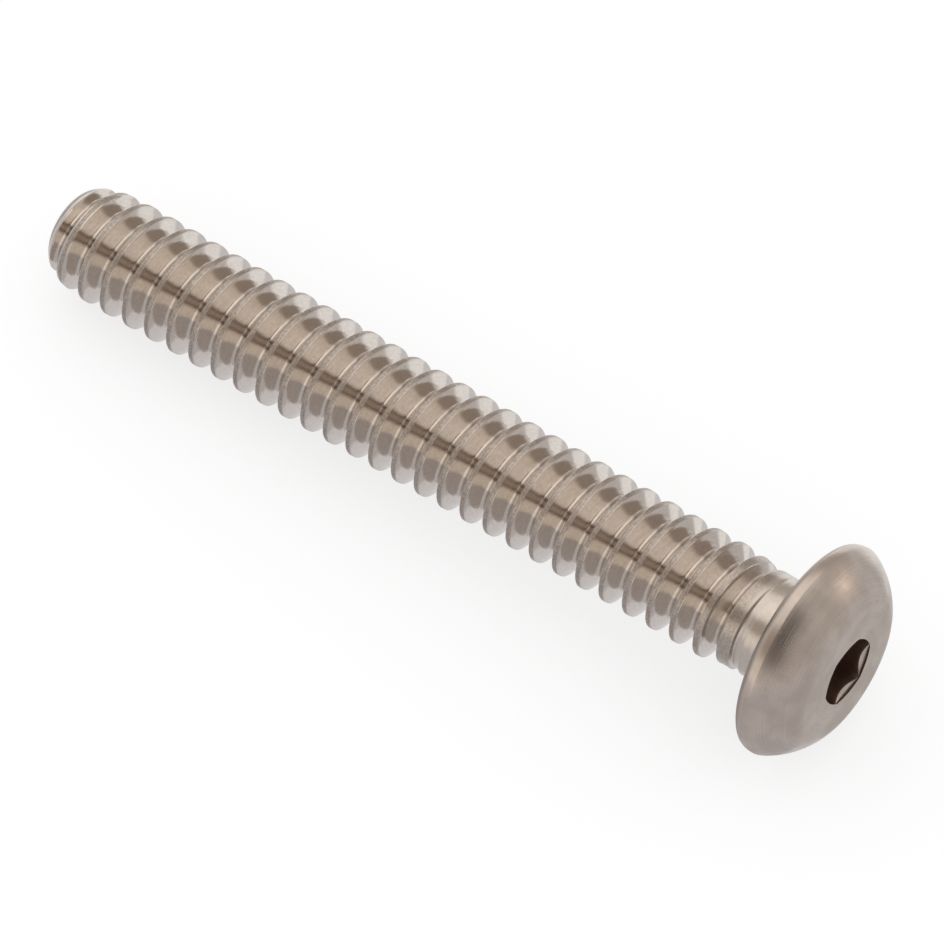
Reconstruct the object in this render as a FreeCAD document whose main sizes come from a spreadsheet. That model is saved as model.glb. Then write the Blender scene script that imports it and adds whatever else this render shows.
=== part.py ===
"""Button head machine screw with a hex socket: 0.138 in body, 32 threads to the inch, 1 in under the head.

The screw is modelled along its own axis: the bearing face under the head lies at x = 0, the head
stands towards +X and the shank runs towards -X. At the end it is laid down as it comes to rest,
on the rim of its head and the first full crest of its thread.
Lengths are in millimetres and angles in degrees.
"""

import FreeCAD, Part
import math
import os

import Sketcher

SIZES = {
    # shank and thread
    "shank_length": 25.4,  # one inch, measured from under the head
    "pitch": 0.79375,  # 32 threads to the inch
    "crest_diameter": 3.31,
    "thread_depth": 0.31,
    "crest_width": 0.155,
    "flank_angle": 30.0,  # half of the 60 degree thread form
    "left_hand": 1.0,  # 1 as photographed, 0 for a right-hand thread
    "first_crest": 0.65,  # from the end face to the first crest on the underside
    "full_thread_end": 1.95,  # the groove keeps its full depth up to this distance from the head
    "runout_turns": 1.6,
    # point
    "point_diameter": 2.14,
    "point_angle": 40.0,  # of the chamfer against the axis
    # neck, the plain length under the head
    "neck_step": 0.155,  # how far the neck lies below the crests
    "neck_length": 1.6,
    "neck_taper": 10.0,  # where the crests come down to the neck
    "neck_flare": 0.25,  # where the neck widens into the bearing face
    # head
    "head_diameter": 6.42,
    "head_height": 1.62,
    "rim_height": 0.42,
    "rim_edge": 0.12,  # chamfer of the rim towards the bearing face
    "crown_radius": 2.3,
    "flat_diameter": 4.12,
    # socket, for a 5/64 in key
    "socket_across_flats": 1.984,
    "socket_depth": 1.15,
    "socket_turn": 0.0,
    "lead_diameter": 2.34,
    "lead_angle": 45.0,
    "drill_diameter": 1.9,
    "drill_angle": 31.0,  # of the drill's cone against the socket's floor
}

doc = FreeCAD.newDocument("machine_screw")


# How a size is written
class Size:
    """A number together with the expression that ties it to the sheet of sizes."""

    def __init__(self, number, text):
        self.number = number
        self.text = text

    @staticmethod
    def of(value):
        return value if isinstance(value, Size) else Size(float(value), repr(float(value)))

    def joined(self, sign, other, number):
        return Size(number, f"({self.text} {sign} {Size.of(other).text})")

    def __add__(self, other):
        return self.joined("+", other, self.number + Size.of(other).number)

    def __sub__(self, other):
        return self.joined("-", other, self.number - Size.of(other).number)

    def __mul__(self, other):
        return self.joined("*", other, self.number * Size.of(other).number)

    def __truediv__(self, other):
        return self.joined("/", other, self.number / Size.of(other).number)

    def __neg__(self):
        return Size(-self.number, f"(-1 * {self.text})")


def tan(angle):
    return Size(math.tan(math.radians(angle.number)), f"tan({angle.text})")


def sin(angle):
    return Size(math.sin(math.radians(angle.number)), f"sin({angle.text})")


def cos(angle):
    return Size(math.cos(math.radians(angle.number)), f"cos({angle.text})")


def atan(share):
    return Size(math.degrees(math.atan(share.number)), f"atan({share.text})")


def sqrt(square):
    return Size(math.sqrt(square.number), f"sqrt({square.text})")


def whole(count):
    return Size(math.floor(count.number), f"floor({count.text})")


def size(name):
    return Size(SIZES[name], f"Sizes.{name}")


# Sheet of sizes
sheet = doc.addObject("Spreadsheet::Sheet", "Sizes")
for row, (name, value) in enumerate(SIZES.items(), start=1):
    sheet.set(f"A{row}", name)
    sheet.set(f"B{row}", repr(value))
    sheet.setAlias(f"B{row}", name)
doc.recompute()

# Sizes that follow from the sheet
crest_radius = size("crest_diameter") / 2
root_radius = crest_radius - size("thread_depth")
neck_radius = crest_radius - size("neck_step")
head_radius = size("head_diameter") / 2
flat_radius = size("flat_diameter") / 2
point_radius = size("point_diameter") / 2
point_length = (crest_radius - point_radius) / tan(size("point_angle"))
taper_length = size("neck_step") / tan(size("neck_taper"))

# Groove of the thread, measured at the crests and at the root
groove_slope = tan(size("flank_angle"))
groove_mouth = size("pitch") - size("crest_width")
groove_floor = groove_mouth - size("thread_depth") * groove_slope * 2
groove_clear = Size.of(0.1)  # how far the cutting profile stands out of the crests

# The groove starts clear of the end face and runs in whole turns up to the neck
turns_off_end = 2
groove_start = size("first_crest") - size("shank_length") - size("pitch") * turns_off_end
groove_turns = (
    whole((size("shank_length") - size("first_crest") - size("full_thread_end")) / size("pitch"))
    + turns_off_end
)
groove_end = groove_start + groove_turns * size("pitch")

body = doc.addObject("PartDesign::Body", "machine_screw")
body.Label = "machine_screw"


# Drawing helpers
def origin_plane(role):
    return next(item for item in body.Origin.OriginFeatures if item.Role == role)


def new_sketch(name, role, height=None):
    """A sketch on one of the body's planes, raised along its normal by height if one is given."""
    sketch = body.newObject("Sketcher::SketchObject", name)
    sketch.AttachmentSupport = [(origin_plane(role), "")]
    sketch.MapMode = "FlatFace"
    if height is not None:
        sketch.setExpression("AttachmentOffset.Base.z", height.text)
    return sketch


def draw_side(sketch, start, end, bend):
    """One side of an outline, straight or bent, as its index and its start and end point numbers."""
    if bend is None:
        return sketch.addGeometry(Part.LineSegment(start, end), False), 1, 2
    radius, turn = bend
    chord = end - start
    inward = FreeCAD.Vector(-chord.y, chord.x, 0).normalize() * turn
    rise = math.sqrt(max(radius.number**2 - (chord.Length / 2) ** 2, 0.0))
    centre = start + chord * 0.5 + inward * rise
    first, last = (start, end) if turn > 0 else (end, start)
    angles = [math.atan2(point.y - centre.y, point.x - centre.x) for point in (first, last)]
    circle = Part.Circle(centre, FreeCAD.Vector(0, 0, 1), radius.number)
    index = sketch.addGeometry(Part.ArcOfCircle(circle, *angles), False)
    return (index, 1, 2) if turn > 0 else (index, 2, 1)


def draw_outline(sketch, corners):
    """A closed outline through named corners.

    Each corner is a name, its two sizes and, where the side that leaves it is an arc, the arc's
    radius with 1 for a left or -1 for a right turn.
    """
    points = [FreeCAD.Vector(across.number, up.number, 0) for _, across, up, _ in corners]
    ends = points[1:] + points[:1]
    sides = [
        draw_side(sketch, start, end, corner[3])
        for start, end, corner in zip(points, ends, corners)
    ]
    for number, (name, across, up, bend) in enumerate(corners):
        side, first, _ = sides[number]
        before, _, last = sides[number - 1]
        sketch.addConstraint(Sketcher.Constraint("Coincident", before, last, side, first))
        for kind, letter, value in (("DistanceX", "x", across), ("DistanceY", "y", up)):
            fix_point(sketch, kind, f"{name}_{letter}", side, first, value)
        if bend is not None:
            rule = sketch.addConstraint(Sketcher.Constraint("Radius", side, bend[0].number))
            sketch.renameConstraint(rule, f"{name}_radius")
            sketch.setExpression(f"Constraints.{name}_radius", bend[0].text)


def fix_point(sketch, kind, label, side, point, value):
    """Ties a point's distance from the sketch's origin to a size, or lays it on the axis."""
    if value is ZERO:
        axis = -2 if kind == "DistanceX" else -1
        sketch.addConstraint(Sketcher.Constraint("PointOnObject", side, point, axis))
        return
    rule = sketch.addConstraint(Sketcher.Constraint(kind, -1, 1, side, point, value.number))
    sketch.renameConstraint(rule, label)
    sketch.setExpression(f"Constraints.{label}", value.text)


def turned(kind, name, sketch):
    """A revolved solid or cut about the screw's axis."""
    feature = body.newObject(kind, name)
    feature.Profile = sketch
    feature.ReferenceAxis = (sketch, ["H_Axis"])
    feature.Angle = 360
    doc.recompute()
    return feature


def threaded(name, sketch, turns, growth):
    """A helical cut about the screw's axis whose radius may grow along the way."""
    feature = body.newObject("PartDesign::SubtractiveHelix", name)
    feature.Profile = sketch
    feature.ReferenceAxis = (sketch, ["H_Axis"])
    feature.Mode = "pitch-turns-angle"
    feature.setExpression("Pitch", size("pitch").text)
    feature.setExpression("Turns", turns.text)
    feature.setExpression("Angle", growth.text)
    feature.setExpression("LeftHanded", f"{size('left_hand').text} == 1")
    feature.Reversed = False
    doc.recompute()
    return feature


ZERO = Size.of(0)

# Turned blank: chamfered point, crests, neck, flare, bearing face, rim, crown and top flat
shank_end = -size("shank_length")
blank_sketch = new_sketch("blank_profile", "XZ_Plane")
draw_outline(
    blank_sketch,
    [
        ("end_centre", shank_end, ZERO, None),
        ("end_edge", shank_end, point_radius, None),
        ("point_top", shank_end + point_length, crest_radius, None),
        ("crest_end", -(size("neck_length") + taper_length), crest_radius, None),
        ("neck_start", -size("neck_length"), neck_radius, None),
        ("neck_end", -size("neck_flare"), neck_radius, None),
        ("bearing_inner", ZERO, neck_radius + size("neck_flare"), None),
        ("bearing_outer", ZERO, head_radius - size("rim_edge"), None),
        ("rim_start", size("rim_edge"), head_radius, None),
        ("rim_end", size("rim_height"), head_radius, (size("crown_radius"), -1)),
        ("flat_edge", size("head_height"), flat_radius, None),
        ("flat_centre", size("head_height"), ZERO, None),
    ],
)
blank = turned("PartDesign::Revolution", "blank", blank_sketch)


# Thread: one groove rolled round the shank, then a shallower run-out into the neck
def groove_outline(sketch, middle):
    """The groove's cutting profile about a middle, drawn past the crests so that it cuts clean."""
    past = groove_clear * groove_slope
    draw_outline(
        sketch,
        [
            ("floor_left", middle - groove_floor / 2, root_radius, None),
            ("floor_right", middle + groove_floor / 2, root_radius, None),
            ("mouth_right", middle + groove_mouth / 2 + past, crest_radius + groove_clear, None),
            ("mouth_left", middle - groove_mouth / 2 - past, crest_radius + groove_clear, None),
        ],
    )


groove_sketch = new_sketch("groove_profile", "XZ_Plane")
groove_outline(groove_sketch, groove_start)
groove = threaded("thread_groove", groove_sketch, groove_turns, ZERO)

runout_sketch = new_sketch("runout_profile", "XZ_Plane")
groove_outline(runout_sketch, groove_end)
runout_rise = (neck_radius - root_radius) / (size("runout_turns") * size("pitch"))
runout = threaded("thread_runout", runout_sketch, size("runout_turns"), atan(runout_rise))

# Hex socket: broached hexagon, conical lead at its mouth and the drill's cone below it
hexagon_sketch = new_sketch("hexagon", "YZ_Plane", size("head_height"))
hexagon_radius = size("socket_across_flats") / sqrt(Size.of(3))
draw_outline(
    hexagon_sketch,
    [
        (
            f"corner_{number}",
            hexagon_radius * cos(size("socket_turn") + 60 * number),
            hexagon_radius * sin(size("socket_turn") + 60 * number),
            None,
        )
        for number in range(6)
    ],
)
hexagon = body.newObject("PartDesign::Pocket", "hex_socket")
hexagon.Profile = hexagon_sketch
hexagon.Type = "Length"
hexagon.setExpression("Length", size("socket_depth").text)
hexagon.Reversed = False
doc.recompute()

lead_radius = size("lead_diameter") / 2
lead_sketch = new_sketch("lead_profile", "XZ_Plane")
draw_outline(
    lead_sketch,
    [
        ("apex", size("head_height") - lead_radius * tan(size("lead_angle")), ZERO, None),
        ("centre", size("head_height"), ZERO, None),
        ("edge", size("head_height"), lead_radius, None),
    ],
)
lead = turned("PartDesign::Groove", "socket_lead", lead_sketch)

drill_radius = size("drill_diameter") / 2
socket_floor = size("head_height") - size("socket_depth")
drill_sketch = new_sketch("drill_profile", "XZ_Plane")
draw_outline(
    drill_sketch,
    [
        ("apex", socket_floor - drill_radius * tan(size("drill_angle")), ZERO, None),
        ("centre", socket_floor, ZERO, None),
        ("edge", socket_floor, drill_radius, None),
    ],
)
drill = turned("PartDesign::Groove", "socket_drill_point", drill_sketch)
body.Tip = drill

# Resting place: the rim's lower corner and the first full crest both touch the ground
reach = size("rim_edge") + size("shank_length") - point_length
tilt = atan((head_radius - crest_radius) / reach)
bearing_height = head_radius * cos(tilt) - size("rim_edge") * sin(tilt)
front = size("head_height") * cos(tilt) + flat_radius * sin(tilt)
back = size("shank_length") * cos(tilt) + point_radius * sin(tilt)
bearing_shift = (back - front) / 2
body.setExpression(
    "Placement",
    f"placement(vector({bearing_shift.text}; 0; {bearing_height.text}); "
    f"rotation(vector(0; -1; 0); {tilt.text}))",
)
doc.recompute()

# Checks of the model, then the file of the one solid
assert all(not {"Invalid", "Error"} & set(item.State) for item in doc.Objects), "a step failed"
for before, after in ((blank, groove), (groove, runout), (runout, hexagon), (hexagon, lead), (lead, drill)):
    assert after.Shape.Volume < before.Shape.Volume, f"{after.Label} removed nothing"
assert body.Shape.isValid() and not body.Shape.isNull() and len(body.Shape.Solids) == 1

os.makedirs("parts", exist_ok=True)
body.Shape.exportStep("parts/machine_screw.step")
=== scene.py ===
"""A button head machine screw with a hexagon socket, on a pale table in a photographer's light tent."""

import logging
import math
from dataclasses import dataclass, field
from enum import Enum

import bmesh
import bpy
from bpy.types import Camera, Material, Mesh, Node, NodeSocket, NodeTree, Nodes, Object
from mathutils import Matrix, Vector

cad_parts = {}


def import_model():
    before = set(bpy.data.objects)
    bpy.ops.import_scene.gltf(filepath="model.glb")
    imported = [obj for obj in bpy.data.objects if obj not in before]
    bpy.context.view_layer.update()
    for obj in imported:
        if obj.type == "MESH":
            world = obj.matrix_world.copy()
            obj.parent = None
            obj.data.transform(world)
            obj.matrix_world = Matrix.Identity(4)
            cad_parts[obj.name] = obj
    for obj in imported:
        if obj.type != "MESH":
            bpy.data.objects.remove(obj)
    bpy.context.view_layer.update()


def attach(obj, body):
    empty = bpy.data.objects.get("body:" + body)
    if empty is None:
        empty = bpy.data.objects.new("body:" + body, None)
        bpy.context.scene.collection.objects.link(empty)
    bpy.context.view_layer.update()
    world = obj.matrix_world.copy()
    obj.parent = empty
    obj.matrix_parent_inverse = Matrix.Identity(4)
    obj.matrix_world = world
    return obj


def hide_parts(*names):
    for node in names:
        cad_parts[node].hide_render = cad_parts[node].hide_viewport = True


LOG = logging.getLogger("button_head_screw")
MM = 0.001
COLUMNS = 84
NODE = "machine_screw"
CREST_MARK = "on_crest"
GLOW_MARK = "Glow"
# How far a 60 degree thread's flank rises along the axis. Half of it is the cosine of 30 degrees.
FLANK_RISE = math.sqrt(3.0)

Colour = tuple[float, float, float]
Tone = Colour | NodeSocket
Span = tuple[float, float]
Ring = list[Span]
InputValue = float | int | Material
VectorValue = NodeSocket | Vector | float


class Steel(Enum):
    """The three surfaces of the one stainless screw, in the order of the mesh's material slots."""

    THREAD = 0
    HEAD = 1
    # The socket's finish carries painted shade in its colours.
    SOCKET = 2


@dataclass(frozen=True)
class Lie:
    """How the screw lies on the table: resting on the rim of its head and on the end of its thread."""

    tilt: float = math.radians(3.58455)
    bearing: tuple[float, float, float] = (11.83579 * MM, 0.0, 3.19622 * MM)

    def axis(self) -> Vector:
        """Return the direction from the point to the head."""
        return Vector((math.cos(self.tilt), 0.0, math.sin(self.tilt)))

    def matrix(self) -> Matrix:
        """Return the move from the screw's own frame, with its bearing face at 0, to the table's frame."""
        turn = Matrix.Rotation(-self.tilt, 4, "Y")
        return Matrix.Translation(Vector(self.bearing)) @ turn


@dataclass(frozen=True)
class Term:
    """One number of a node tree, written with the usual signs of arithmetic."""

    nodes: Nodes
    socket: NodeSocket

    def _maths(self, kind: str, *others: "Term | float") -> "Term":
        """Add one node of arithmetic.

        Args:
            kind: the operation of the node.
            others: the second and third numbers.

        Returns:
            The result as a new term.
        """
        node = self.nodes.new("ShaderNodeMath")
        node.operation = kind
        tree = self.nodes.id_data
        for slot, value in zip(node.inputs, (self, *others)):
            if isinstance(value, Term):
                tree.links.new(value.socket, slot)
            else:
                slot.default_value = value
        return Term(self.nodes, node.outputs[0])

    def __add__(self, other: "Term | float") -> "Term":
        """Return self plus other."""
        return self._maths("ADD", other)

    def __sub__(self, other: "Term | float") -> "Term":
        """Return self less other."""
        return self._maths("SUBTRACT", other)

    def __rsub__(self, other: float) -> "Term":
        """Return a plain number less self."""
        return (-self) + other

    def __mul__(self, other: "Term | float") -> "Term":
        """Return self times other."""
        return self._maths("MULTIPLY", other)

    def __truediv__(self, other: "Term | float") -> "Term":
        """Return self divided by other."""
        return self._maths("DIVIDE", other)

    def __neg__(self) -> "Term":
        """Return self with its sign changed."""
        return self._maths("MULTIPLY", -1.0)

    def floor(self) -> "Term":
        """Return the whole number under self."""
        return self._maths("FLOOR")

    def size(self) -> "Term":
        """Return self without its sign."""
        return self._maths("ABSOLUTE")

    def root(self) -> "Term":
        """Return the square root of self."""
        return self._maths("SQRT")

    def exp(self) -> "Term":
        """Return e raised to self."""
        return self._maths("EXPONENT")

    def sin(self) -> "Term":
        """Return the sine of self."""
        return self._maths("SINE")

    def cos(self) -> "Term":
        """Return the cosine of self."""
        return self._maths("COSINE")

    def at_least(self, other: "Term | float") -> "Term":
        """Return the larger of the two."""
        return self._maths("MAXIMUM", other)

    def at_most(self, other: "Term | float") -> "Term":
        """Return the smaller of the two."""
        return self._maths("MINIMUM", other)

    def soft_top(self, other: "Term | float", blend: "Term | float") -> "Term":
        """Return the smaller of the two, rounded where they meet."""
        return self._maths("SMOOTH_MIN", other, blend)

    def held(self) -> "Term":
        """Return self between 0 and 1."""
        return self.at_least(0.0).at_most(1.0)

    def eased(self) -> "Term":
        """Return self between 0 and 1, eased at both ends."""
        share = self.held()
        return share * share * (share * -2.0 + 3.0)


def vector_maths(tree: NodeTree, kind: str, *values: VectorValue) -> Node:
    """Add one node of vector arithmetic to a material or a group.

    Args:
        tree: the tree that gets the node.
        kind: the operation of the node.
        values: its first value and, where it has one, its second: a socket, or a plain vector or number.

    Returns:
        The node.
    """
    node = tree.nodes.new("ShaderNodeVectorMath")
    node.operation = kind
    second = node.inputs["Scale"] if kind == "SCALE" else node.inputs[1]
    for slot, value in zip((node.inputs[0], second), values):
        if isinstance(value, NodeSocket):
            tree.links.new(value, slot)
        else:
            slot.default_value = value
    return node


def empty_material(name: str) -> Material:
    """Make a material whose node tree holds nothing yet.

    Args:
        name: the material's name.

    Returns:
        The material.
    """
    made = bpy.data.materials.new(name)
    made.use_nodes = True
    made.node_tree.nodes.clear()
    return made


def glowing_material(name: str, colour: Colour) -> Material:
    """Build a material that only glows.

    Args:
        name: the material's name.
        colour: the colour that it gives off.

    Returns:
        The material, with the nodes Emission and Material Output.
    """
    made = empty_material(name)
    nodes, links = made.node_tree.nodes, made.node_tree.links
    glow = nodes.new("ShaderNodeEmission")
    glow.inputs["Color"].default_value = (*colour, 1.0)
    out = nodes.new("ShaderNodeOutputMaterial")
    links.new(glow.outputs[0], out.inputs["Surface"])
    return made


def placed(name: str, data: Mesh | Camera) -> Object:
    """Put a mesh or a camera into the scene.

    Args:
        name: the object's name.
        data: the mesh, already where it belongs, or the camera.

    Returns:
        The object, which sits at the origin.
    """
    made = bpy.data.objects.new(name, data)
    bpy.context.scene.collection.objects.link(made)
    return made


@dataclass
class ThreadedShank:
    """The rolled thread from the rounded point to its run-out in the neck, as one Geometry Nodes tree.

    Places are counted from under the head towards the point, and the first crest from the end of the point.
    """

    length: float = 25.4 * MM
    pitch: float = 0.79375 * MM
    crest_radius: float = 1.655 * MM
    depth: float = 0.455 * MM
    crest_width: float = 0.155 * MM
    crest_softness: float = 0.02 * MM
    left_hand: bool = True
    first_crest: float = 0.65 * MM
    first_turn: float = 0.25
    # What the point's cone and its rounded edge take off the radius, and over what lengths
    point_loss: float = 0.62 * MM
    point_run: float = 0.45 * MM
    point_edge: float = 0.15 * MM
    point_edge_run: float = 0.06 * MM
    point_dish: float = 0.10 * MM
    # The neck, which swells a little at one place
    neck_radius: float = 1.50 * MM
    neck_barrel: float = 0.018 * MM
    barrel_place: float = 1.30 * MM
    barrel_run: float = 0.45 * MM
    # Where the crests, the root, the groove's width and the crests' scuffed look start and end their change
    crest_fade: Span = (2.45 * MM, 1.55 * MM)
    root_fade: Span = (1.95 * MM, 0.84 * MM)
    root_widening: float = 0.09 * MM
    widening_span: Span = (1.50 * MM, 1.10 * MM)
    neck_span: Span = (1.34 * MM, 1.14 * MM)
    neck_end: float = 0.30 * MM
    faded_mark: float = 0.8
    # The rows of the wound grid, and those that close the end of the point
    rows_per_pitch: int = 28
    spare_rows: float = 3.0
    first_end_row: float = 1.01
    dish_rows: float = 4.0
    weld: float = 0.0005 * MM

    def _tree(self, finish: Material) -> tuple[NodeTree, dict[str, InputValue]]:
        """Build the tree that winds a grid round the axis and gives each place its radius.

        Args:
            finish: the finish of the thread.

        Returns:
            The tree, and the value of each of its inputs by the input's identifier.
        """
        tree = bpy.data.node_groups.new("Wind the thread", "GeometryNodeTree")
        values: dict[str, InputValue] = {}
        nodes, links = tree.nodes, tree.links
        source = nodes.new("NodeGroupInput")

        def given(name: str, value: InputValue, kind: str = "NodeSocketFloat") -> Term:
            """Add one named input.

            Args:
                name: the input's name.
                value: what the modifier sets it to.
                kind: its kind of socket.

            Returns:
                The input as a term.
            """
            item = tree.interface.new_socket(name=name, in_out="INPUT", socket_type=kind)
            values[item.identifier] = value
            return Term(nodes, source.outputs[item.identifier])

        length = given("Length", self.length)
        pitch = given("Pitch", self.pitch)
        crest = given("Crest radius", self.crest_radius)
        depth = given("Thread depth", self.depth)
        land = given("Crest width", self.crest_width)
        soft = given("Crest softness", self.crest_softness)
        first = given("First crest", self.first_crest)
        hand = given("Hand", -1.0 if self.left_hand else 1.0)
        loss = given("Point loss", self.point_loss)
        run = given("Point run", self.point_run)
        edge = given("Point edge", self.point_edge)
        edge_run = given("Point edge run", self.point_edge_run)
        dish = given("Point dish", self.point_dish)
        neck = given("Neck radius", self.neck_radius)
        barrel = given("Neck barrel", self.neck_barrel)
        barrel_at = given("Barrel place", self.barrel_place)
        barrel_run = given("Barrel run", self.barrel_run)
        crest_from = given("Crest fade start", self.crest_fade[0])
        crest_to = given("Crest fade end", self.crest_fade[1])
        root_from = given("Root fade start", self.root_fade[0])
        root_to = given("Root fade end", self.root_fade[1])
        widening = given("Root widening", self.root_widening)
        wide_from = given("Widening start", self.widening_span[0])
        wide_to = given("Widening end", self.widening_span[1])
        neck_from = given("Neck start", self.neck_span[0])
        neck_to = given("Neck full", self.neck_span[1])
        stop = given("Neck end", self.neck_end)
        rows = given("Rows per pitch", self.rows_per_pitch, "NodeSocketInt")
        columns = given("Columns", COLUMNS, "NodeSocketInt")
        steel = given("Steel", finish, "NodeSocketMaterial")
        tree.interface.new_socket(name="Shank", in_out="OUTPUT", socket_type="NodeSocketGeometry")

        low, high = -length, -stop
        step = pitch / rows
        face = crest - loss - edge
        start = low - face - pitch - step * self.spare_rows
        count = ((high - start + pitch) / step).floor() + self.spare_rows

        grid = nodes.new("GeometryNodeMeshGrid")
        links.new((count + 1.0).socket, grid.inputs["Vertices X"])
        links.new((columns + 1.0).socket, grid.inputs["Vertices Y"])
        grid.inputs["Size X"].default_value = 1.0
        grid.inputs["Size Y"].default_value = 1.0
        position = nodes.new("GeometryNodeInputPosition")
        parts = nodes.new("ShaderNodeSeparateXYZ")
        links.new(position.outputs[0], parts.inputs[0])
        along = Term(nodes, parts.outputs["X"]) + 0.5
        turn = Term(nodes, parts.outputs["Y"]) + 0.5

        # The rows follow the helix, so crest, flank and root each keep their own row of faces all the way.
        raw = start + along * count * step + turn * hand * pitch
        x = raw.at_least(low).at_most(high)
        helix = (x - low - first) / pitch - (turn + self.first_turn) * hand - 0.5
        off_root = (0.5 - (helix - helix.floor() - 0.5).size()) * pitch
        # Towards its end the run-out's groove is widened on both sides.
        off_root = (off_root - widening * ((x + wide_from) / (wide_from - wide_to)).eased()).at_least(0.0)

        # The root is an arc between 60 degree flanks, which would meet in a sharp V below it.
        sharp = crest - (pitch - land) * (0.5 * FLANK_RISE)
        arc = crest - depth - sharp
        arc_end = arc * (0.5 * FLANK_RISE)
        bow = off_root.at_most(arc_end)
        flank = (off_root - arc_end).at_least(0.0) * FLANK_RISE
        groove = sharp + arc * 2.0 - (arc * arc - bow * bow).root() + flank

        # In the run-out the groove rises while the crests come down, until both are the plain neck.
        rise = (neck - crest + depth) * ((x + root_from) / (root_from - root_to)).eased()
        # Past that it rises clear of the neck, so that the rounding leaves the end at the neck's radius.
        rise = rise + soft * 2.0 * ((x + root_to) / (root_to - stop)).eased()
        crest_left = 1.0 - ((x + crest_from) / (crest_from - crest_to)).eased()
        bulge = (x + barrel_at) / barrel_run
        top = neck + (crest - neck) * crest_left + barrel * (-(bulge * bulge)).exp()
        from_end = x - low
        envelope = crest - loss * (-(from_end / run)).exp() - edge * (-(from_end / edge_run)).exp()
        body = (groove + rise).soft_top(top, soft).soft_top(envelope, soft)
        on_crest = ((groove + rise - top) / soft + 0.5).held() * crest_left.at_least(self.faded_mark)
        on_crest = on_crest * (1.0 - ((x + neck_from) / (neck_from - neck_to)).eased())

        # The rows that are left past the point's end close its face, with a shallow dish.
        over = (low - raw - step * self.first_end_row).at_least(0.0)
        radius = (body - over).at_least(0.0)
        hollow = radius / face
        sunk = dish * (1.0 - hollow * hollow) * (over / (step * self.dish_rows)).at_most(1.0)

        angle = turn * (2.0 * math.pi)
        place = nodes.new("ShaderNodeCombineXYZ")
        links.new((x + sunk).socket, place.inputs["X"])
        links.new((radius * angle.cos()).socket, place.inputs["Y"])
        links.new((radius * angle.sin()).socket, place.inputs["Z"])
        self._close(tree, grid.outputs["Mesh"], place.outputs[0], on_crest, steel)
        return tree, values

    def _close(
        self, tree: NodeTree, grid: NodeSocket, place: NodeSocket, on_crest: Term, steel: Term
    ) -> None:
        """Mark the crests, move the grid to its places, weld it and dress it.

        Args:
            tree: the tree of the thread.
            grid: the flat grid.
            place: where each of its points goes.
            on_crest: how far each of its points lies on a crest, from 0 to 1.
            steel: the finish of the thread.
        """
        made = []
        kinds = "StoreNamedAttribute", "SetPosition", "MergeByDistance", "RealizeInstances", "SetMaterial"
        for kind in kinds:
            node = tree.nodes.new("GeometryNode" + kind)
            tree.links.new(made[-1].outputs[0] if made else grid, node.inputs[0])
            made.append(node)
        result = tree.nodes.new("NodeGroupOutput")
        tree.links.new(made[-1].outputs[0], result.inputs[0])
        mark, move, weld, _, paint = made
        mark.data_type = "FLOAT"
        mark.domain = "POINT"
        mark.inputs["Name"].default_value = CREST_MARK
        tree.links.new(on_crest.socket, mark.inputs["Value"])
        tree.links.new(place, move.inputs["Position"])
        weld.inputs["Distance"].default_value = self.weld
        tree.links.new(steel.socket, paint.inputs["Material"])

    def mesh(self, steel: Material) -> Mesh:
        """Wind the shank as a plain mesh in the screw's own frame.

        Args:
            steel: the finish of the thread.

        Returns:
            The mesh, open only where it meets the head.
        """
        tree, values = self._tree(steel)
        holder = placed("thread_winding", bpy.data.meshes.new("thread_winding"))
        modifier = holder.modifiers.new("Thread", "NODES")
        modifier.node_group = tree
        for identifier, value in values.items():
            modifier[identifier] = value
        evaluated = holder.evaluated_get(bpy.context.evaluated_depsgraph_get())
        plain = bpy.data.meshes.new_from_object(evaluated)
        holder.modifiers.clear()
        bpy.data.objects.remove(holder)
        return plain


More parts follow.
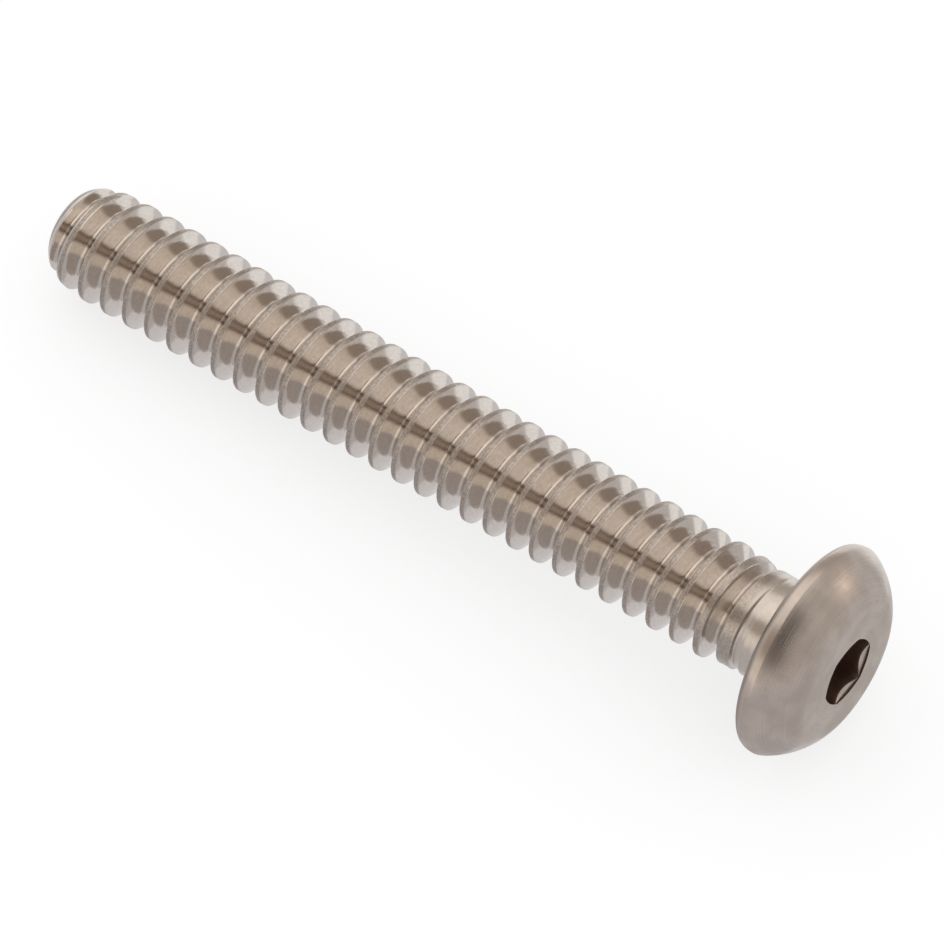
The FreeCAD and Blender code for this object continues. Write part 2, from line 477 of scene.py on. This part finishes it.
@dataclass
class ButtonHead:
    """The turned head, from its bearing face and rim to the hexagon socket, as rows of one ring each.

    Places along the axis are counted from the bearing face. The shares divide a flat or a wall into rows.
    """

    radius: float = 3.205 * MM
    height: float = 1.617 * MM
    rim_low: float = 0.37 * MM
    rim_high: float = 0.44 * MM
    rim_soft: float = 0.05 * MM
    rim_steps: int = 8
    edge_steps: int = 4
    flat_radius: float = 2.06 * MM
    flat_soft: float = 0.16 * MM
    flat_steps: int = 8
    flat_shares: tuple[float, ...] = (0.35, 0.7)
    crown_bulge: float = 0.149 * MM
    crown_steps: int = 24
    neck_radius: float = 1.50 * MM
    neck_fillet: float = 0.22 * MM
    neck_end: float = 0.30 * MM
    fillet_steps: int = 6
    bearing_inside: float = 2.0 * MM
    bearing_margin: float = 0.25 * MM
    bearing_shares: tuple[float, ...] = (0.25, 0.5, 0.75)
    across_flats: float = 1.984 * MM
    corner_cut: float = 0.012 * MM
    socket_depth: float = 1.15 * MM
    socket_turn: float = math.radians(30.0)
    mouth_radius: float = 1.00 * MM
    mouth_hexagon: float = 0.35
    mouth_soft: float = 0.012 * MM
    mouth_steps: int = 3
    mouth_lean: Span = (-1.0, 0.3)
    lip_depth: float = 0.02 * MM
    lead_radius: float = 1.145 * MM
    lead_depth: float = 0.035 * MM
    lead_slope: float = math.radians(49.0)
    wall_soft: float = 0.02 * MM
    wall_inset: float = 0.004 * MM
    wall_draft: float = 0.006 * MM
    wall_shares: tuple[float, ...] = (0.3, 0.6, 0.95)
    foot_inset: float = 0.03 * MM
    drill_radius: float = 0.90 * MM
    drill_angle: float = math.radians(31.0)
    drill_shares: tuple[float, ...] = (0.25, 0.5, 0.75, 0.97)

    def _wall(self, angle: float) -> float:
        """Return how far the hexagon's wall stands from the axis.

        Args:
            angle: the angle round the axis.

        Returns:
            The distance, a little less than the full one at a corner.
        """
        sixth = math.pi / 3.0
        off = (angle - self.socket_turn + sixth / 2.0) % sixth - sixth / 2.0
        wall = self.across_flats / 2.0 / math.cos(off)
        corner = self.across_flats / 2.0 / math.cos(sixth / 2.0)
        return min(wall, corner - self.corner_cut)

    @staticmethod
    def _rounded(before: Vector, corner: Vector, after: Vector, cut: float, steps: int) -> list[Vector]:
        """Round one corner of the profile.

        Args:
            before: the profile's place before the corner.
            corner: the sharp corner.
            after: the profile's place after it.
            cut: how far from the corner the rounding starts on both sides.
            steps: how many pieces the rounding has.

        Returns:
            The places of the rounding, both ends with it.
        """
        start = corner + (before - corner).normalized() * cut
        end = corner + (after - corner).normalized() * cut
        places = []
        for i in range(steps + 1):
            share = i / steps
            places.append(start * (1 - share) ** 2 + corner * (2 * share * (1 - share)) + end * share ** 2)
        return places

    def _underside(self) -> list[Vector]:
        """Draw the profile from the neck over its fillet to the flat bearing face.

        Returns:
            Its places, each with its place along the axis and its radius.
        """
        fillet = self.neck_fillet
        rows = [Vector((-self.neck_end, self.neck_radius))]
        for i in range(self.fillet_steps + 1):
            angle = math.pi / 2.0 * i / self.fillet_steps
            out = self.neck_radius + fillet * (1 - math.cos(angle))
            rows.append(Vector((-fillet + fillet * math.sin(angle), out)))
        face_start = self.neck_radius + fillet
        face_width = self.radius - self.bearing_margin - self.neck_radius - fillet
        for share in self.bearing_shares:
            rows.append(Vector((0.0, face_start + share * face_width)))
        return rows

    def _crown(self, low: Vector, high: Vector) -> list[Vector]:
        """Lay places along the arc of the crown.

        Args:
            low: the arc's start at the rim.
            high: the arc's end at the flat top.

        Returns:
            The places, both ends with them.
        """
        chord = high - low
        out = Vector((-chord.y, chord.x)).normalized()
        out = out if out.y > 0 else -out
        half = chord.length / 2.0
        sweep = (half * half + self.crown_bulge ** 2) / (2.0 * self.crown_bulge)
        centre = low + chord / 2.0 - out * (sweep - self.crown_bulge)
        spread = math.asin(half / sweep)
        places = []
        for i in range(self.crown_steps + 1):
            angle = spread * (2.0 * i / self.crown_steps - 1.0)
            place = centre + out * (sweep * math.cos(angle))
            places.append(place + chord.normalized() * (sweep * math.sin(angle)))
        return places

    def _outside(self) -> Ring:
        """Draw the head's whole turned profile, from the neck to the socket's mouth.

        Returns:
            Its pairs of place along the axis and radius.
        """
        rim = Vector((self.rim_high, self.radius))
        mouth = Vector((self.height, self.mouth_radius))
        crown = self._crown(rim, Vector((self.height, self.flat_radius)))
        bearing = Vector((0.0, self.bearing_inside))
        rows = self._underside()
        rows += self._rounded(bearing, Vector((0.0, self.radius)), rim, self.rim_low, self.rim_steps)
        # The crown's first places and its last ones give way to the roundings at its two ends.
        edge = Vector((self.rim_low, self.radius))
        rows += self._rounded(edge, crown[0], crown[3], self.rim_soft, self.edge_steps)
        rows += crown[2:-4]
        rows += self._rounded(crown[-5], crown[-1], mouth, self.flat_soft, self.flat_steps)
        flat_width = self.mouth_radius - self.flat_radius
        for share in self.flat_shares:
            rows.append(Vector((self.height, self.flat_radius + share * flat_width)))
        lip = mouth + Vector(self.mouth_lean) * MM
        rows += self._rounded(rows[-1], mouth, lip, self.mouth_soft, self.mouth_steps)
        return [(row.x, row.y) for row in rows]

    def _head_rings(self, walls: list[float]) -> list[Ring]:
        """Turn the profile into rings, with the mouth drawn a little towards the hexagon.

        Args:
            walls: the hexagon's distance from the axis at each column.

        Returns:
            The rings from the neck to the mouth.
        """
        rings = [[row] * COLUMNS for row in self._outside()]
        first = len(rings) - self.mouth_steps - 1
        for ring in rings[first:]:
            ring[:] = [
                (x, out + (wall - self.mouth_radius) * self.mouth_hexagon)
                for (x, out), wall in zip(ring, walls)
            ]
        return rings

    def _lead_rings(self, walls: list[float]) -> list[Ring]:
        """Lay the lead: the lip under the mouth, and the cone down to the hexagon.

        Args:
            walls: the hexagon's distance from the axis at each column.

        Returns:
            The rings, of which the last lies on the hexagon.
        """
        cone_top = self.height - self.lead_depth
        feet = [cone_top - (self.lead_radius - wall) * math.tan(self.lead_slope) for wall in walls]
        return [
            [(self.height - self.lip_depth, self.lead_radius)] * COLUMNS,
            [(cone_top, self.lead_radius)] * COLUMNS,
            [((cone_top + foot) / 2.0, (self.lead_radius + wall) / 2.0) for foot, wall in zip(feet, walls)],
            list(zip(feet, walls)),
        ]

    def _socket_rings(self, start: Ring) -> list[Ring]:
        """Lay the hexagon's walls and the drill point under them.

        Args:
            start: the ring where the lead ends.

        Returns:
            The rings, down to just above the tip of the drill point.
        """
        bottom = self.height - self.socket_depth
        soft = self.wall_soft
        rings = [[(foot - soft, wall - self.wall_inset) for foot, wall in start]]
        for share in self.wall_shares:
            rings.append([
                (foot - soft + share * (bottom - foot + soft), wall - self.wall_draft)
                for foot, wall in start
            ])
        rings.append([(bottom, wall - self.foot_inset) for _, wall in start])
        rings.append([(bottom, self.drill_radius)] * COLUMNS)
        for share in self.drill_shares:
            radius = self.drill_radius * (1.0 - share)
            deeper = (self.drill_radius - radius) * math.tan(self.drill_angle)
            rings.append([(bottom - deeper, radius)] * COLUMNS)
        return rings

    def mesh(self) -> Mesh:
        """Lay the rings out as a mesh in the screw's own frame.

        Returns:
            The mesh, open only at the neck.
        """
        shape = bmesh.new()
        angles = [2.0 * math.pi * i / COLUMNS for i in range(COLUMNS)]
        walls = [self._wall(angle) for angle in angles]
        rings = self._head_rings(walls) + self._lead_rings(walls)
        first_socket_row = len(rings) - 1
        rings += self._socket_rings(rings[-1])
        laid = [
            [
                shape.verts.new((x, out * math.cos(angle), out * math.sin(angle)))
                for (x, out), angle in zip(ring, angles)
            ]
            for ring in rings
        ]
        for row, (low, high) in enumerate(zip(laid, laid[1:])):
            # The hexagon's walls and the drill point take the socket finish, whose darker colours are
            # painted shade.
            steel = Steel.SOCKET if row >= first_socket_row else Steel.HEAD
            for i in range(COLUMNS):
                j = (i + 1) % COLUMNS
                face = shape.faces.new((low[i], low[j], high[j], high[i]))
                face.material_index = steel.value
        drill_point = self.height - self.socket_depth - self.drill_radius * math.tan(self.drill_angle)
        tip = shape.verts.new((drill_point, 0.0, 0.0))
        for i in range(COLUMNS):
            face = shape.faces.new((laid[-1][i], laid[-1][(i + 1) % COLUMNS], tip))
            face.material_index = Steel.SOCKET.value
        plain = bpy.data.meshes.new("head")
        shape.to_mesh(plain)
        shape.free()
        return plain


class ScrewPlace:
    """A shader node group that reads where a place on the screw is: along it, out from it and round it."""

    def __init__(self, lie: Lie) -> None:
        """Build the group once.

        Args:
            lie: how the screw lies, from which the group finds the axis.
        """
        tree = bpy.data.node_groups.new("Place on the screw", "ShaderNodeTree")
        for name, kind in (("Along", "Float"), ("Out", "Float"), ("Round", "Vector")):
            tree.interface.new_socket(name=name, in_out="OUTPUT", socket_type="NodeSocket" + kind)
        coords = tree.nodes.new("ShaderNodeTexCoord")
        shift = vector_maths(tree, "SUBTRACT", coords.outputs["Object"], Vector(lie.bearing))
        in_mm = vector_maths(tree, "SCALE", shift.outputs[0], 1.0 / MM)
        along = vector_maths(tree, "DOT_PRODUCT", in_mm.outputs[0], lie.axis())
        on_axis = vector_maths(tree, "SCALE", lie.axis(), along.outputs["Value"])
        radial = vector_maths(tree, "SUBTRACT", in_mm.outputs[0], on_axis.outputs[0])
        length = vector_maths(tree, "LENGTH", radial.outputs[0])
        unit = vector_maths(tree, "NORMALIZE", radial.outputs[0])
        out = tree.nodes.new("NodeGroupOutput")
        tree.links.new(along.outputs["Value"], out.inputs["Along"])
        tree.links.new(length.outputs["Value"], out.inputs["Out"])
        tree.links.new(unit.outputs[0], out.inputs["Round"])
        self.tree = tree


class TurnedLines:
    """A shader node group that gives the fine lines a lathe or a roll leaves round the axis."""

    def __init__(self, place: ScrewPlace) -> None:
        """Build the group once.

        Args:
            place: the group that reads the place on the screw.
        """
        tree = bpy.data.node_groups.new("Turned lines", "ShaderNodeTree")
        for name, value in (("Along lines", 8.0), ("Out lines", 8.0), ("Round change", 1.0), ("Seed", 0.0)):
            item = tree.interface.new_socket(name=name, in_out="INPUT", socket_type="NodeSocketFloat")
            item.default_value = value
        tree.interface.new_socket(name="Lines", in_out="OUTPUT", socket_type="NodeSocketFloat")
        nodes, links = tree.nodes, tree.links
        source = nodes.new("NodeGroupInput")
        here = nodes.new("ShaderNodeGroup")
        here.node_tree = place.tree
        along = Term(nodes, here.outputs["Along"]) * Term(nodes, source.outputs["Along lines"])
        out = Term(nodes, here.outputs["Out"]) * Term(nodes, source.outputs["Out lines"])
        pair = nodes.new("ShaderNodeCombineXYZ")
        links.new(along.socket, pair.inputs["X"])
        links.new((out + Term(nodes, source.outputs["Seed"])).socket, pair.inputs["Y"])
        slow = vector_maths(tree, "SCALE", here.outputs["Round"], source.outputs["Round change"])
        where = vector_maths(tree, "ADD", pair.outputs[0], slow.outputs[0])
        noise = nodes.new("ShaderNodeTexNoise")
        noise.inputs["Scale"].default_value = 1.0
        noise.inputs["Detail"].default_value = 3.0
        noise.inputs["Roughness"].default_value = 0.6
        links.new(where.outputs[0], noise.inputs["Vector"])
        result = nodes.new("NodeGroupOutput")
        links.new(noise.outputs["Fac"], result.inputs["Lines"])
        self.tree = tree


def speckle(tree: NodeTree, size: float) -> Term:
    """Add an even mottling to a material.

    Args:
        tree: the material's tree.
        size: how many spots lie in a millimetre.

    Returns:
        The mottling, from 0 to 1.
    """
    darkest, span = 0.35, 0.3
    coords = tree.nodes.new("ShaderNodeTexCoord")
    scaled = vector_maths(tree, "SCALE", coords.outputs["Object"], size / MM)
    spots = tree.nodes.new("ShaderNodeTexNoise")
    spots.inputs["Scale"].default_value = 1.0
    spots.inputs["Detail"].default_value = 4.0
    tree.links.new(scaled.outputs[0], spots.inputs["Vector"])
    return ((Term(tree.nodes, spots.outputs["Fac"]) - darkest) / span).eased()


@dataclass(frozen=True)
class WornCrests:
    """The scuffed crests and the satin neck of the shank. The neck's ends are in mm from under the head."""

    crest_colour: Colour = (0.53, 0.48, 0.435)
    scuff_colour: Colour = (0.38, 0.335, 0.30)
    crest_roughness: float = 0.42
    scuff_size: float = 15.0
    neck: Span = (-2.1, -1.5)
    neck_roughness: float = 0.29

    def neck_share(self, along: Term) -> Term:
        """Return how far a place belongs to the neck, from 0 to 1."""
        return ((along - self.neck[0]) / (self.neck[1] - self.neck[0])).eased()


@dataclass(frozen=True)
class PaintedUnderShade:
    """Painted shade under the head: a darker colour up to the rim's lower edge. It fades between two
    heights in mm.
    """

    colour: Colour = (0.38, 0.33, 0.29)
    fade: Span = (0.13, 0.24)

    def share(self, along: Term) -> Term:
        """Return how far a place lies in the painted shade under the head, from 0 to 1."""
        return ((along - self.fade[1]) / (self.fade[0] - self.fade[1])).eased()


@dataclass(frozen=True)
class StainlessFinish:
    """One surface of the stainless steel: its colour, its gloss and its tool lines."""

    name: str
    colour: Colour
    dull_colour: Colour
    roughness: float
    roughness_swing: float
    line_height: float
    along_lines: float
    out_lines: float
    round_change: float
    seed: float
    line_floor: float = 0.3
    line_span: float = 0.4
    blotch_size: float = 1.6
    blotch_share: float = 0.35
    worn: WornCrests | None = None
    # Painted shade under the head, for the finish that has it.
    under: PaintedUnderShade | None = None

    @staticmethod
    def _blend(tree: NodeTree, share: Term, low: Tone, high: Tone) -> NodeSocket:
        """Mix two colours, each a plain colour or a socket.

        Args:
            tree: the material's tree.
            share: 0 for the first colour and 1 for the second.
            low: the first colour.
            high: the second colour.

        Returns:
            The socket of the mixed colour.
        """
        mix = tree.nodes.new("ShaderNodeMix")
        mix.data_type = "RGBA"
        # A Mix node has sockets of every kind: these two of its inputs and this output are its colours.
        for slot, value in ((mix.inputs[6], low), (mix.inputs[7], high)):
            if isinstance(value, NodeSocket):
                tree.links.new(value, slot)
            else:
                slot.default_value = (*value, 1.0)
        tree.links.new(share.socket, mix.inputs[0])
        return mix.outputs[2]

    def _drawn(self, tree: NodeTree, lines: TurnedLines) -> NodeSocket:
        """Place the group of tool lines in a material with this finish's own values.

        Args:
            tree: the material's tree.
            lines: the group that draws the tool lines.

        Returns:
            The socket of the lines.
        """
        drawn = tree.nodes.new("ShaderNodeGroup")
        drawn.node_tree = lines.tree
        for name, value in (
            ("Along lines", self.along_lines),
            ("Out lines", self.out_lines),
            ("Round change", self.round_change),
            ("Seed", self.seed),
        ):
            drawn.inputs[name].default_value = value
        return drawn.outputs["Lines"]

    @staticmethod
    def _along(tree: NodeTree, place: ScrewPlace) -> Term:
        """Read how far along the axis a place lies.

        Args:
            tree: the material's tree.
            place: the group that reads the place on the screw.

        Returns:
            The distance towards the head, in mm from under it.
        """
        here = tree.nodes.new("ShaderNodeGroup")
        here.node_tree = place.tree
        return Term(tree.nodes, here.outputs["Along"])

    def material(self, place: ScrewPlace, lines: TurnedLines) -> Material:
        """Build the finish as a material.

        Args:
            place: the group that reads the place on the screw.
            lines: the group that draws the tool lines.

        Returns:
            The material.
        """
        steel = empty_material(self.name)
        tree = steel.node_tree
        nodes, links = tree.nodes, tree.links
        shader = nodes.new("ShaderNodeBsdfPrincipled")
        shader.inputs["Metallic"].default_value = 1.0
        out = nodes.new("ShaderNodeOutputMaterial")
        links.new(shader.outputs[0], out.inputs["Surface"])
        drawn = self._drawn(tree, lines)
        drawn_share = ((Term(nodes, drawn) - self.line_floor) / self.line_span).held()
        blotch = speckle(tree, self.blotch_size)
        drawn_share = drawn_share * (1.0 - self.blotch_share) + blotch * self.blotch_share
        colour = self._blend(tree, drawn_share, self.dull_colour, self.colour)
        gloss = drawn_share * (-2.0 * self.roughness_swing) + (self.roughness + self.roughness_swing)
        if self.worn is not None:
            marked = nodes.new("ShaderNodeAttribute")
            marked.attribute_name = CREST_MARK
            crest = Term(nodes, marked.outputs["Fac"])
            neck = self.worn.neck_share(self._along(tree, place))
            scuffs = speckle(tree, self.worn.scuff_size)
            scuffed = self._blend(tree, scuffs, self.worn.scuff_colour, self.worn.crest_colour)
            colour = self._blend(tree, crest, colour, scuffed)
            gloss = gloss + (self.worn.crest_roughness - gloss) * crest
            gloss = gloss + (self.worn.neck_roughness - gloss) * neck
        if self.under is not None:
            # Painted shade: the underside of the head and the neck's corner get a darker colour.
            under_shade_share = self.under.share(self._along(tree, place))
            colour = self._blend(tree, under_shade_share, colour, self.under.colour)
        links.new(colour, shader.inputs["Base Color"])
        links.new(gloss.socket, shader.inputs["Roughness"])
        bump = nodes.new("ShaderNodeBump")
        bump.inputs["Strength"].default_value = 1.0
        bump.inputs["Distance"].default_value = self.line_height
        links.new(drawn, bump.inputs["Height"])
        links.new(bump.outputs[0], shader.inputs["Normal"])
        return steel


@dataclass
class MachineScrew:
    """The whole screw: shank and head welded into one closed piece that stands for the solid."""

    lie: Lie
    shank: ThreadedShank = field(default_factory=ThreadedShank)
    head: ButtonHead = field(default_factory=ButtonHead)
    weld: float = 0.0008 * MM
    sliver: float = 0.0002 * MM
    sharp_angle: float = math.radians(38.0)
    finishes: tuple[StainlessFinish, ...] = (
        StainlessFinish(
            name="rolled_thread_steel",
            colour=(0.71, 0.665, 0.62),
            dull_colour=(0.62, 0.565, 0.51),
            roughness=0.13,
            roughness_swing=0.03,
            line_height=0.0015 * MM,
            along_lines=14.0,
            out_lines=22.0,
            round_change=1.2,
            seed=3.0,
            blotch_size=9.0,
            blotch_share=0.4,
            worn=WornCrests(),
        ),
        StainlessFinish(
            name="turned_head_steel",
            colour=(0.69, 0.62, 0.565),
            dull_colour=(0.52, 0.46, 0.41),
            roughness=0.29,
            roughness_swing=0.04,
            line_height=0.0035 * MM,
            along_lines=40.0,
            out_lines=40.0,
            round_change=0.8,
            seed=11.0,
            blotch_size=1.3,
            blotch_share=0.5,
            under=PaintedUnderShade(),
        ),
        # The socket's darker, browner colours are painted shade inside the recess; its tool lines are
        # bumps.
        StainlessFinish(
            name="socket_steel_painted_shade",
            colour=(0.42, 0.31, 0.265),
            dull_colour=(0.28, 0.20, 0.165),
            roughness=0.34,
            roughness_swing=0.05,
            line_height=0.003 * MM,
            along_lines=1.5,
            out_lines=9.0,
            round_change=14.0,
            seed=23.0,
        ),
    )

    def build(self) -> Object:
        """Build, weld and dress the screw.

        Returns:
            The finished piece, riding on the screw's body.
        """
        place = ScrewPlace(self.lie)
        lines = TurnedLines(place)
        steels = [finish.material(place, lines) for finish in self.finishes]
        whole = bpy.data.meshes.new("button_head_screw")
        for steel in steels:
            whole.materials.append(steel)
        shape = bmesh.new()
        shape.from_mesh(self.shank.mesh(steels[Steel.THREAD.value]))
        for face in shape.faces:
            face.material_index = Steel.THREAD.value
        shape.from_mesh(self.head.mesh())
        bmesh.ops.remove_doubles(shape, verts=shape.verts, dist=self.weld)
        bmesh.ops.dissolve_degenerate(shape, dist=self.sliver, edges=shape.edges)
        bmesh.ops.recalc_face_normals(shape, faces=shape.faces)
        open_edges = sum(1 for edge in shape.edges if not edge.is_manifold)
        shape.transform(self.lie.matrix())
        for face in shape.faces:
            face.smooth = True
        shape.to_mesh(whole)
        LOG.info("screw: %d faces, %d open edges", len(shape.faces), open_edges)
        shape.free()
        whole.set_sharp_from_angle(angle=self.sharp_angle)
        screw = placed("button_head_screw", whole)
        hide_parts(NODE)
        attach(screw, "root")
        return screw


class Shape(Enum):
    """How a card of the tent is cut."""

    STRIP = "strip"
    ROUND = "round"


@dataclass(frozen=True)
class Card:
    """One board or soft box of the tent, as the directions in degrees that it fills seen from the screw.

    The turn is counted round the screw's axis from the camera's side, and the lean towards the head. A
    strip runs between two turns and two leans, and a round card has a radius about its first turn and lean.
    """

    name: str
    colour: Colour
    turn: Span
    lean: Span = (-90.0, 90.0)
    feather: float = 4.0
    shape: Shape = Shape.STRIP
    radius: float = 0.0

    def cover(self, turn: float, lean: float) -> float:
        """Return how far the card fills one direction, from 0 to 1.

        Args:
            turn: degrees round the axis.
            lean: degrees towards the head.

        Returns:
            1 inside the card, 0 outside, and a soft step between.
        """
        if self.shape is Shape.ROUND:
            here, there = math.radians(lean), math.radians(self.lean[0])
            swing = math.cos(math.radians(turn - self.turn[0]))
            apart = math.sin(here) * math.sin(there) + math.cos(here) * math.cos(there) * swing
            inside = self.radius - math.degrees(math.acos(max(-1.0, min(1.0, apart))))
        else:
            inside = min(turn - self.turn[0], self.turn[1] - turn, lean - self.lean[0], self.lean[1] - lean)
        share = max(0.0, min(1.0, inside / self.feather + 0.5))
        return share * share * (3.0 - 2.0 * share)


@dataclass(frozen=True)
class TableShadeCard:
    """Painted shade of the table: one grey card lying on it, which only the steel mirrors, between two
    places across and two along.
    """

    name: str
    along: Span
    across: Span
    colour: Colour


@dataclass
class Studio:
    """Pale table, white tent, cards and camera."""

    lie: Lie
    camera_place: tuple[float, float, float] = (75.36850 * MM, -100.17474 * MM, 186.81282 * MM)
    camera_aim: tuple[float, float, float] = (2.37069 * MM, -2.21276 * MM, 5.81596 * MM)
    lens: float = 305.969
    sensor: float = 36.0
    nearest: float = 0.01
    table_reach: float = 1.5
    table_grey: float = 0.34
    table_glow: float = 0.68
    card_lift: float = 0.05 * MM
    tent_radius: float = 0.5
    tent_turns: int = 240
    tent_leans: int = 60
    last_lean: float = 89.9
    cloth: Colour = (0.78, 0.78, 0.79)
    cards: tuple[Card, ...] = (
        Card("upper_gap", (0.46, 0.405, 0.365), (-118.0, -64.0), (-95.0, 24.0), 8.0),
        Card("warm_box", (1.00, 0.92, 0.85), (-72.0, -2.0), (-95.0, 24.0), 12.0),
        Card("warm_lamp", (1.16, 1.07, 0.99), (-50.0, -14.0), (-95.0, 24.0), 22.0),
        Card("middle_gap", (0.46, 0.38, 0.325), (-3.0, 30.0), (-95.0, 24.0), 6.0),
        Card("gap_line_high", (0.16, 0.11, 0.08), (0.0, 6.0), (-95.0, 24.0), 4.0),
        Card("gap_line_low", (0.18, 0.125, 0.09), (19.0, 25.0), (-95.0, 24.0), 4.0),
        Card("lower_box", (0.95, 0.87, 0.79), (30.0, 64.0), (-95.0, 24.0), 8.0),
        Card("behind_gap", (0.65, 0.615, 0.595), (-200.0, 200.0), (-95.0, -45.0), 14.0),
        Card("rim_box", (1.05, 1.00, 0.96), (-72.0, -8.0), (-60.0, -32.0), 10.0),
        Card("front_field", (0.59, 0.55, 0.52), (-200.0, 200.0), (18.0, 95.0), 14.0),
        Card("lens_haze", (0.50, 0.445, 0.415), (-5.0, 60.0), (46.0, 84.0), 18.0),
        Card("lens_shade", (0.06, 0.05, 0.045), (-32.0, 40.0), (23.0, 48.0), 12.0),
        Card("head_lamp", (1.60, 1.35, 1.15), (-100.0, 0.0), (38.0, 0.0), 8.0, Shape.ROUND, 8.0),
    )
    table_shade_cards: tuple[TableShadeCard, ...] = (
        # Painted shade: these cards darken the table near, under and in front of the screw as the steel
        # mirrors it.
        TableShadeCard("near_table_shade", (-0.20, 0.20), (-0.20, -0.0018), (0.56, 0.535, 0.54)),
        TableShadeCard("under_screw_shade", (-0.20, 0.0137), (-0.0018, 0.006), (0.74, 0.73, 0.75)),
        TableShadeCard("front_table_shade", (0.0137, 0.20), (-0.0018, 0.20), (0.60, 0.58, 0.575)),
    )

    def table(self) -> Object:
        """Lay the pale table, white to the camera and to the steel, and with the screw's soft shadow.

        Returns:
            The table.
        """
        top = glowing_material("pale_table", (1.0, 1.0, 1.0))
        nodes, links = top.node_tree.nodes, top.node_tree.links
        glow, out = nodes["Emission"], nodes["Material Output"]
        paper = nodes.new("ShaderNodeBsdfDiffuse")
        paper.inputs["Color"].default_value = (self.table_grey, self.table_grey, self.table_grey, 1.0)
        rays = nodes.new("ShaderNodeLightPath")
        seen = Term(nodes, rays.outputs["Is Camera Ray"])
        for other in ("Is Glossy Ray", "Is Transmission Ray"):
            seen = seen.at_least(Term(nodes, rays.outputs[other]))
        links.new((seen * self.table_glow).socket, glow.inputs["Strength"])
        both = nodes.new("ShaderNodeAddShader")
        links.new(paper.outputs[0], both.inputs[0])
        links.new(glow.outputs[0], both.inputs[1])
        links.new(both.outputs[0], out.inputs["Surface"])
        reach = self.table_reach
        table = placed("pale_table", self._flat("pale_table", (-reach, reach), (-reach, reach), 0.0, top))
        return table

    @staticmethod
    def _flat(name: str, along: Span, across: Span, lift: float, finish: Material) -> Mesh:
        """Lay one flat rectangle.

        Args:
            name: the mesh's name.
            along: its two ends in X.
            across: its two sides in Y.
            lift: its height.
            finish: its material.

        Returns:
            The mesh, which faces up.
        """
        (x0, x1), (y0, y1) = along, across
        made = bpy.data.meshes.new(name)
        corners = [(x0, y0, lift), (x1, y0, lift), (x1, y1, lift), (x0, y1, lift)]
        made.from_pydata(corners, [], [(0, 1, 2, 3)])
        made.materials.append(finish)
        return made

    def white_world(self) -> None:
        """Light everything from a plain white world."""
        world = bpy.data.worlds.new("white_tent")
        world.use_nodes = True
        back = world.node_tree.nodes["Background"]
        back.inputs["Color"].default_value = (1.0, 1.0, 1.0, 1.0)
        back.inputs["Strength"].default_value = 1.0
        bpy.context.scene.world = world

    @staticmethod
    def _only_for_steel(name: str, mesh: Mesh) -> None:
        """Put up a board that only the steel mirrors, out of the picture and out of the table's light.

        Args:
            name: the board's name.
            mesh: its mesh.
        """
        board = placed(name, mesh)
        board.visible_camera = False
        board.visible_diffuse = False
        board.visible_shadow = False
        board.visible_transmission = False

    def hang_tent(self) -> None:
        """Hang the tent round the screw, with every card on it."""
        axis, centre = self.lie.axis(), Vector(self.lie.bearing)
        view = (Vector(self.camera_place) - Vector(self.camera_aim)).normalized()
        up = (view - axis * view.dot(axis)).normalized()
        across = axis.cross(up)
        if across.z > 0:
            across = -across
        turns, leans = self.tent_turns, self.tent_leans
        places: list[Vector] = []
        colours: list[float] = []
        for j in range(leans + 1):
            lean = -self.last_lean + 2.0 * self.last_lean * j / leans
            for i in range(turns):
                turn = -180.0 + 360.0 * i / turns
                round_axis, to_head = math.radians(turn), math.radians(lean)
                out = up * math.cos(round_axis) + across * math.sin(round_axis)
                out = out * math.cos(to_head) + axis * math.sin(to_head)
                places.append(centre + out * self.tent_radius)
                colour = Vector(self.cloth)
                for card in self.cards:
                    colour = colour.lerp(Vector(card.colour), card.cover(turn, lean))
                colours += [*colour, 1.0]
        faces = []
        for j in range(leans):
            low, high = j * turns, (j + 1) * turns
            for i in range(turns):
                k = (i + 1) % turns
                faces.append((low + i, low + k, high + k, high + i))
        cloth = bpy.data.meshes.new("light_tent")
        cloth.from_pydata(places, [], faces)
        cloth.color_attributes.new(GLOW_MARK, "FLOAT_COLOR", "POINT").data.foreach_set("color", colours)
        glowing = glowing_material("light_tent", self.cloth)
        nodes, links = glowing.node_tree.nodes, glowing.node_tree.links
        read = nodes.new("ShaderNodeAttribute")
        read.attribute_name = GLOW_MARK
        links.new(read.outputs["Color"], nodes["Emission"].inputs["Color"])
        cloth.materials.append(glowing)
        self._only_for_steel("light_tent", cloth)
        LOG.info("tent: %d cards", len(self.cards))

    def lay_table_shade(self) -> None:
        """Lay the grey cards of painted table shade, which only the steel mirrors."""
        for card in self.table_shade_cards:
            grey = glowing_material(card.name, card.colour)
            board = self._flat(card.name, card.along, card.across, self.card_lift, grey)
            self._only_for_steel(card.name, board)
            LOG.info("card %s laid", card.name)

    def camera(self) -> Object:
        """Set the camera where the photograph was taken from.

        Returns:
            The camera.
        """
        data = bpy.data.cameras.new("camera")
        data.lens = self.lens
        data.sensor_width = self.sensor
        data.clip_start = self.nearest
        camera = placed("camera", data)
        place, aim = Vector(self.camera_place), Vector(self.camera_aim)
        camera.location = place
        camera.rotation_euler = (aim - place).to_track_quat("-Z", "Y").to_euler()
        bpy.context.scene.camera = camera
        return camera


def main() -> None:
    """Build the screw and its studio in order, and report each piece."""
    logging.basicConfig(level=logging.INFO, format="%(message)s")
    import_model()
    lie = Lie()
    screw = MachineScrew(lie).build()
    LOG.info("piece %s: %d faces", screw.name, len(screw.data.polygons))
    studio = Studio(lie)
    studio.table()
    studio.white_world()
    studio.hang_tent()
    studio.lay_table_shade()
    studio.camera()
    scene = bpy.context.scene
    scene.view_settings.view_transform = "Standard"


if __name__ == "__main__":
    main()
